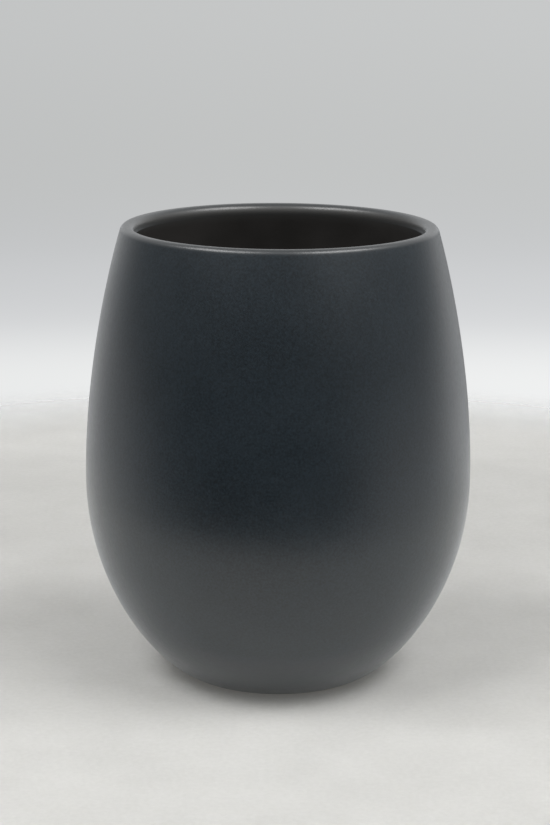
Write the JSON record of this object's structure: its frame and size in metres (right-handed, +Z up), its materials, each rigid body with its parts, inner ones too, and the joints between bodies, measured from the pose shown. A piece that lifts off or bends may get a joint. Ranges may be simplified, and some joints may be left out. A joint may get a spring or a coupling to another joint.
{
  "type": "candle jar",
  "caption": "Empty stemless-tumbler-shaped candle jar in matt charcoal glazed stoneware, with a dark liner glaze, a rounded rim and a small foot ring.",
  "frame": {"origin": "on the jar's axis, in the plane that the foot ring stands on", "axes": "+Z up along the axis that the jar is turned about, out of the mouth; X and Y are any two level directions"},
  "size_m": [0.085, 0.085, 0.1],
  "materials": {
    "bare_stoneware": "matte",
    "matt_charcoal_glaze": "satin",
    "satin_umber_glaze": "satin",
    "foot_recess_glaze": "satin"
  },
  "bodies": {
    "root": {"stoneware_body": "bare_stoneware", "outer_glaze": "matt_charcoal_glaze", "liner_glaze": "satin_umber_glaze", "foot_recess_glaze": "foot_recess_glaze"}
  },
  "joints": []
}
